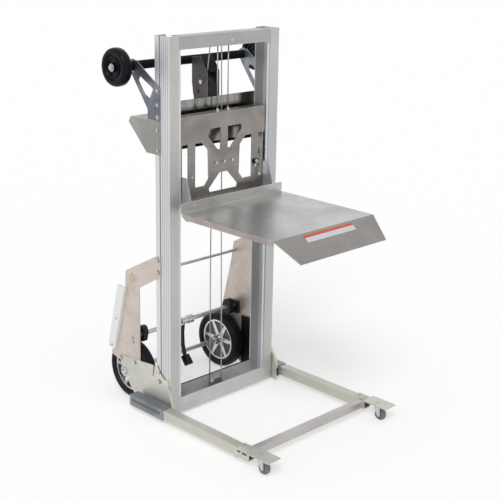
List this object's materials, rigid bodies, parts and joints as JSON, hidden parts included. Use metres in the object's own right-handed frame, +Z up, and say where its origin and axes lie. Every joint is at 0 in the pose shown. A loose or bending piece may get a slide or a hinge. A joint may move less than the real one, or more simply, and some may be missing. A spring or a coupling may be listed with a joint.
{
  "type": "portable load lifter",
  "caption": "Upright mast on wheels and legs with a cable-lifted platform, a rear winch, and rollers on the handlebar for loading it into a vehicle.",
  "frame": {"origin": "on the floor, under the middle of the whole lifter", "axes": "+Z up; the platform points along -Y; +X to the right as seen from the platform side"},
  "size_m": [0.821, 1.064, 1.56],
  "materials": {
    "rail_aluminium": "anodised satin extrusion",
    "bracket_zinc": "zinc-plated sheet, warm grey",
    "base_zinc": "zinc-plated sheet, yellowish",
    "polished_sheet": "polished sheet steel",
    "deck_sheet": "brushed sheet, satin",
    "black_foam": "closed-cell foam",
    "black_tyre": "solid rubber tyre",
    "black_wheel": "moulded rubber wheel",
    "hub_aluminium": "cast and polished",
    "caster_tread": "grey tread",
    "chrome_pressing": "plated pressing",
    "white_slide": "slippery plastic",
    "black_paint": "black powder coat",
    "gunmetal": "dark metallic coat",
    "bright_steel": "bright drawn steel",
    "cap_passivated": "yellow passivated cap",
    "fastener_zinc": "zinc-plated fasteners",
    "roller_nylon": "dark nylon",
    "wire_rope": "stranded steel cable"
  },
  "bodies": {
    "frame": {"mast_uprights": "rail_aluminium", "top_crossbar": "rail_aluminium", "bottom_channel": "rail_aluminium", "handle_brackets": "bracket_zinc", "wheel_brackets": "bracket_zinc", "console_cover": "bracket_zinc", "base_brackets": "base_zinc", "legs": "base_zinc", "leg_sleeves": "base_zinc", "front_cross_tube": "base_zinc", "leg_end_plates": "base_zinc", "caster_plates": "base_zinc", "rear_panel": "polished_sheet", "sheave_hangers": "polished_sheet", "foam_grips": "black_foam", "skid_strips": "white_slide", "brake_bearings": "black_paint", "winch_cover": "black_paint", "winch_frame": "gunmetal", "bottom_sheave_bracket": "gunmetal", "handlebar_tube": "bright_steel", "cross_rod": "bright_steel", "rear_axle": "bright_steel", "axle_nuts_and_spacers": "bright_steel", "head_sheave_axle": "bright_steel", "top_wheel_bolts": "bright_steel", "cross_rod_caps": "cap_passivated", "frame_bolts": "fastener_zinc", "lift_cable": "wire_rope", "loop_cable": "wire_rope", "upper_cable_runs": "wire_rope", "lower_cable_run": "wire_rope"},
    "carriage": {"carriage_plate": "polished_sheet", "carriage_side_plates": "polished_sheet", "roller_axles": "bright_steel", "platform_arms": "deck_sheet", "platform_tray": "deck_sheet", "platform_rivets": "fastener_zinc", "stop_bumpers": "black_wheel", "carriage_bolts": "fastener_zinc"},
    "upper_roller_pair": {"upper_rollers": "roller_nylon"},
    "lower_roller_pair": {"lower_rollers": "roller_nylon"},
    "head_sheave_pair": {"head_sheaves": "bright_steel"},
    "foot_sheave": {"bottom_sheave": "bright_steel"},
    "drum": {"winch_drum": "bright_steel", "drum_gear": "bright_steel"},
    "drive": {"drive_shaft": "bright_steel"},
    "rear_wheel_left": {"rear_hub_left": "hub_aluminium", "rear_tyre_left": "black_tyre"},
    "rear_wheel_right": {"rear_hub_right": "hub_aluminium", "rear_tyre_right": "black_tyre"},
    "roll_wheel_left": {"top_wheel_left": "black_wheel"},
    "roll_wheel_right": {"top_wheel_right": "black_wheel"},
    "brake": {"brake_rod": "bright_steel", "brake_pedal": "black_paint", "brake_shoes": "black_paint"},
    "swivel_left": {"caster_fork_left": "chrome_pressing"},
    "swivel_right": {"caster_fork_right": "chrome_pressing"},
    "roller_wheel_left": {"caster_wheel_left": "caster_tread"},
    "roller_wheel_right": {"caster_wheel_right": "caster_tread"}
  },
  "joints": [
    {"name": "carriage_lift", "type": "slide", "parent": "frame", "child": "carriage", "axis": [0, 0, 1], "range_m": [-0.78, 0.24], "deforming": ["upper_cable_runs", "lower_cable_run"]},
    {"name": "upper_rollers_spin", "type": "hinge", "parent": "carriage", "child": "upper_roller_pair", "pos_m": [0, 0.1625, 1.205], "axis": [1, 0, 0], "continuous": true},
    {"name": "lower_rollers_spin", "type": "hinge", "parent": "carriage", "child": "lower_roller_pair", "pos_m": [0, 0.1625, 1.05], "axis": [1, 0, 0], "continuous": true},
    {"name": "head_sheaves_spin", "type": "hinge", "parent": "frame", "child": "head_sheave_pair", "pos_m": [0, 0.1565, 1.531], "axis": [1, 0, 0], "continuous": true},
    {"name": "foot_sheave_spin", "type": "hinge", "parent": "frame", "child": "foot_sheave", "pos_m": [-0.006, 0.158, 0.058], "axis": [0, 1, 0], "continuous": true},
    {"name": "drum_spin", "type": "hinge", "parent": "frame", "child": "drum", "pos_m": [0, 0.26765, 1.31243], "axis": [1, 0, 0], "continuous": true},
    {"name": "drive_spin", "type": "hinge", "parent": "frame", "child": "drive", "pos_m": [0, 0.242, 1.353], "axis": [1, 0, 0], "continuous": true},
    {"name": "rear_wheel_left_spin", "type": "hinge", "parent": "frame", "child": "rear_wheel_left", "pos_m": [-0.256, 0.405, 0.127], "axis": [1, 0, 0], "continuous": true},
    {"name": "rear_wheel_right_spin", "type": "hinge", "parent": "frame", "child": "rear_wheel_right", "pos_m": [0.256, 0.405, 0.127], "axis": [1, 0, 0], "continuous": true},
    {"name": "roll_wheel_left_spin", "type": "hinge", "parent": "frame", "child": "roll_wheel_left", "pos_m": [-0.378, 0.331, 1.432], "axis": [1, 0, 0], "continuous": true},
    {"name": "roll_wheel_right_spin", "type": "hinge", "parent": "frame", "child": "roll_wheel_right", "pos_m": [0.378, 0.331, 1.432], "axis": [1, 0, 0], "continuous": true},
    {"name": "brake_press", "type": "hinge", "parent": "frame", "child": "brake", "pos_m": [0, 0.348, 0.3], "axis": [1, 0, 0], "range_deg": [-15, 0]},
    {"name": "swivel_left_turn", "type": "hinge", "parent": "frame", "child": "swivel_left", "pos_m": [-0.343, -0.457, 0.068], "axis": [0, 0, 1], "continuous": true},
    {"name": "swivel_right_turn", "type": "hinge", "parent": "frame", "child": "swivel_right", "pos_m": [0.343, -0.457, 0.068], "axis": [0, 0, 1], "continuous": true},
    {"name": "roller_wheel_left_spin", "type": "hinge", "parent": "swivel_left", "child": "roller_wheel_left", "pos_m": [-0.343, -0.473, 0.0255], "axis": [1, 0, 0], "continuous": true},
    {"name": "roller_wheel_right_spin", "type": "hinge", "parent": "swivel_right", "child": "roller_wheel_right", "pos_m": [0.343, -0.473, 0.0255], "axis": [1, 0, 0], "continuous": true}
  ],
  "couplings": [
    {"joint": "upper_rollers_spin", "follows": "carriage_lift", "rad_per_m": 27.778},
    {"joint": "lower_rollers_spin", "follows": "carriage_lift", "rad_per_m": -27.778},
    {"joint": "head_sheaves_spin", "follows": "carriage_lift", "rad_per_m": -50},
    {"joint": "foot_sheave_spin", "follows": "carriage_lift", "rad_per_m": 29.412},
    {"joint": "drum_spin", "follows": "carriage_lift", "rad_per_m": 40.323},
    {"joint": "drive_spin", "follows": "carriage_lift", "rad_per_m": -120.97}
  ]
}
